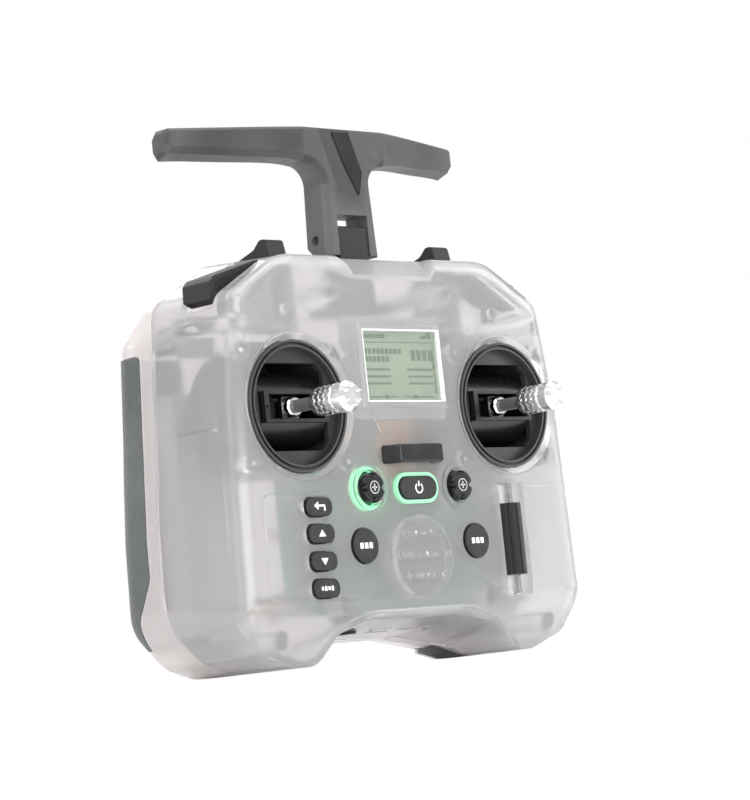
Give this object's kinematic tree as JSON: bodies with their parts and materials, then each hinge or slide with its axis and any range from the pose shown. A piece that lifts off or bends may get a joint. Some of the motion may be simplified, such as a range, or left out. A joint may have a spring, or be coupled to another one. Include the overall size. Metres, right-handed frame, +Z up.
{
  "type": "radio transmitter controller",
  "caption": "Handheld two-stick radio controller in a frosted shell with a display, keys, trim pads, a scroll roller, top switches and a folding T antenna.",
  "frame": {"origin": "centre of the bounding box in plan, on the surface that the two bottom lobes stand on", "axes": "+X to the user's right when facing the front, +Y from the front face to the back, +Z up towards the antenna"},
  "size_m": [0.1576, 0.0786, 0.1704],
  "materials": {
    "frosted_shell": "frosted translucent moulding",
    "rubber_grip": "soft-touch textured rubber",
    "dark_plastic": "satin dark grey plastic",
    "black_gloss": "glossy black plastic",
    "key_rubber": "satin grey key tops",
    "bright_metal": "bright machined",
    "chrome_metal": "polished",
    "steel_fixings": "zinc plated",
    "clear_pane": "clear pane",
    "display_face": "reflective liquid crystal panel",
    "board": "printed circuit board",
    "clear_plastic": "clear light guide and spindle",
    "cell_wrap": "shrink-wrapped metal cell",
    "spring_brass": "contact springs"
  },
  "bodies": {
    "case": {"antenna_hinge_block": "black_gloss", "antenna_hinge_pin": "steel_fixings", "battery_contacts": "spring_brass", "battery_trays": "dark_plastic", "card_slot": "steel_fixings", "case_screws": "steel_fixings", "charge_port": "steel_fixings", "data_port": "steel_fixings", "display_module": "display_face", "display_window": "clear_pane", "dome_switches": "steel_fixings", "front_shell": "frosted_shell", "gimbal_screws": "steel_fixings", "left_battery_cell": "cell_wrap", "left_gimbal_housing": "dark_plastic", "lobe_pads": "rubber_grip", "main_board": "board", "neck_strap_hook": "black_gloss", "power_light_ring": "clear_plastic", "radio_board": "board", "rear_shell": "frosted_shell", "right_battery_cell": "cell_wrap", "right_gimbal_housing": "dark_plastic", "roller_board": "board", "speaker": "dark_plastic", "switch_brackets": "dark_plastic", "trainer_jack": "dark_plastic"},
    "left_drum": {"left_gimbal_drum": "black_gloss"},
    "left_stick": {"left_stick": "steel_fixings", "left_stick_nut": "chrome_metal", "left_stick_end": "bright_metal"},
    "left_trim_ring": {"left_trim_ring": "dark_plastic"},
    "left_trim_pad": {"left_trim_pad": "black_gloss"},
    "left_lever": {"left_lever_switch": "dark_plastic"},
    "left_shoulder": {"left_shoulder_switch": "dark_plastic"},
    "left_cover": {"left_grip_cover": "rubber_grip"},
    "right_drum": {"right_gimbal_drum": "black_gloss"},
    "right_stick": {"right_stick": "steel_fixings", "right_stick_nut": "chrome_metal", "right_stick_end": "bright_metal"},
    "right_trim_ring": {"right_trim_ring": "dark_plastic"},
    "right_trim_pad": {"right_trim_pad": "black_gloss"},
    "right_lever": {"right_lever_switch": "dark_plastic"},
    "right_shoulder": {"right_shoulder_switch": "dark_plastic"},
    "right_cover": {"right_grip_cover": "rubber_grip"},
    "bay_cover": {"module_bay_cover": "dark_plastic"},
    "return_key_body": {"return_key": "key_rubber"},
    "page_up_key_body": {"page_up_key": "key_rubber"},
    "page_down_key_body": {"page_down_key": "key_rubber"},
    "telemetry_key_body": {"telemetry_key": "key_rubber"},
    "system_key_body": {"system_key": "key_rubber"},
    "model_key_body": {"model_key": "key_rubber"},
    "power_button_body": {"power_button": "key_rubber"},
    "roller_frame": {"roller_carrier": "dark_plastic"},
    "roller": {"roller_sleeve": "rubber_grip", "roller_core": "clear_plastic"},
    "momentary": {"momentary_button": "dark_plastic"},
    "dial": {"dial_wheel": "dark_plastic"},
    "antenna_arms": {"antenna": "dark_plastic", "antenna_inlay": "black_gloss"}
  },
  "joints": [
    {"name": "left_stick_up_down", "type": "hinge", "parent": "case", "child": "left_drum", "pos_m": [-0.0464, -0.0013, 0.0791], "axis": [1, 0, 0], "range_deg": [-25, 25]},
    {"name": "left_stick_left_right", "type": "hinge", "parent": "left_drum", "child": "left_stick", "pos_m": [-0.0464, -0.0013, 0.0791], "axis": [0, 0, 1], "range_deg": [-25, 25], "stiffness_Nm_per_rad": 0.15},
    {"name": "left_trim_left_right", "type": "hinge", "parent": "case", "child": "left_trim_ring", "pos_m": [-0.0199, -0.0089, 0.0533], "axis": [0, 0, 1], "range_deg": [-5, 5], "stiffness_Nm_per_rad": 0.05},
    {"name": "left_trim_up_down", "type": "hinge", "parent": "left_trim_ring", "child": "left_trim_pad", "pos_m": [-0.0199, -0.0089, 0.0533], "axis": [1, 0, 0], "range_deg": [-5, 5], "stiffness_Nm_per_rad": 0.05},
    {"name": "left_lever_tip", "type": "hinge", "parent": "case", "child": "left_lever", "pos_m": [-0.0373, 0.0037, 0.118], "axis": [1, 0, 0], "range_deg": [-10, 10]},
    {"name": "left_shoulder_press", "type": "hinge", "parent": "case", "child": "left_shoulder", "pos_m": [-0.0484, 0.0008, 0.1214], "axis": [0, -1, 0], "range_deg": [0, 5]},
    {"name": "left_cover_off", "type": "slide", "parent": "case", "child": "left_cover", "axis": [0, 1, 0], "range_m": [0, 0.02]},
    {"name": "right_stick_up_down", "type": "hinge", "parent": "case", "child": "right_drum", "pos_m": [0.0464, -0.0013, 0.0791], "axis": [1, 0, 0], "range_deg": [-25, 25], "stiffness_Nm_per_rad": 0.15},
    {"name": "right_stick_left_right", "type": "hinge", "parent": "right_drum", "child": "right_stick", "pos_m": [0.0464, -0.0013, 0.0791], "axis": [0, 0, 1], "range_deg": [-25, 25], "stiffness_Nm_per_rad": 0.15},
    {"name": "right_trim_left_right", "type": "hinge", "parent": "case", "child": "right_trim_ring", "pos_m": [0.0199, -0.0089, 0.0533], "axis": [0, 0, 1], "range_deg": [-5, 5], "stiffness_Nm_per_rad": 0.05},
    {"name": "right_trim_up_down", "type": "hinge", "parent": "right_trim_ring", "child": "right_trim_pad", "pos_m": [0.0199, -0.0089, 0.0533], "axis": [1, 0, 0], "range_deg": [-5, 5], "stiffness_Nm_per_rad": 0.05},
    {"name": "right_lever_tip", "type": "hinge", "parent": "case", "child": "right_lever", "pos_m": [0.0373, 0.0037, 0.118], "axis": [1, 0, 0], "range_deg": [-10, 10]},
    {"name": "right_shoulder_press", "type": "hinge", "parent": "case", "child": "right_shoulder", "pos_m": [0.0484, 0.0008, 0.1214], "axis": [0, 1, 0], "range_deg": [0, 5]},
    {"name": "right_cover_off", "type": "slide", "parent": "case", "child": "right_cover", "axis": [0, 1, 0], "range_m": [0, 0.02]},
    {"name": "bay_cover_off", "type": "slide", "parent": "case", "child": "bay_cover", "axis": [0, 1, 0], "range_m": [0, 0.02]},
    {"name": "return_key_press", "type": "slide", "parent": "case", "child": "return_key_body", "axis": [0, 1, 0], "range_m": [0, 0.0008], "stiffness_N_per_m": 900},
    {"name": "page_up_key_press", "type": "slide", "parent": "case", "child": "page_up_key_body", "axis": [0, 1, 0], "range_m": [0, 0.0008], "stiffness_N_per_m": 900},
    {"name": "page_down_key_press", "type": "slide", "parent": "case", "child": "page_down_key_body", "axis": [0, 1, 0], "range_m": [0, 0.0008], "stiffness_N_per_m": 900},
    {"name": "telemetry_key_press", "type": "slide", "parent": "case", "child": "telemetry_key_body", "axis": [0, 1, 0], "range_m": [0, 0.0008], "stiffness_N_per_m": 900},
    {"name": "system_key_press", "type": "slide", "parent": "case", "child": "system_key_body", "axis": [0, 1, 0], "range_m": [0, 0.0008], "stiffness_N_per_m": 900},
    {"name": "model_key_press", "type": "slide", "parent": "case", "child": "model_key_body", "axis": [0, 1, 0], "range_m": [0, 0.0008], "stiffness_N_per_m": 900},
    {"name": "power_button_press", "type": "slide", "parent": "case", "child": "power_button_body", "axis": [0, 1, 0], "range_m": [0, 0.0008], "stiffness_N_per_m": 900},
    {"name": "roller_press", "type": "slide", "parent": "case", "child": "roller_frame", "axis": [0, 1, 0], "range_m": [0, 0.0006], "stiffness_N_per_m": 1200},
    {"name": "roller_turn", "type": "hinge", "parent": "roller_frame", "child": "roller", "pos_m": [0.0442, -0.0117, 0.0356], "axis": [0, 0, 1], "continuous": true},
    {"name": "momentary_press", "type": "slide", "parent": "case", "child": "momentary", "axis": [0, -1, 0], "range_m": [0, 0.001], "stiffness_N_per_m": 900},
    {"name": "dial_turn", "type": "hinge", "parent": "case", "child": "dial", "pos_m": [0.057, 0.0229, 0.106], "axis": [1, 0, 0], "range_deg": [-135, 135]},
    {"name": "antenna_fold", "type": "hinge", "parent": "case", "child": "antenna_arms", "pos_m": [0, 0.0061, 0.1347], "axis": [1, 0, 0], "range_deg": [-95, 0]}
  ]
}
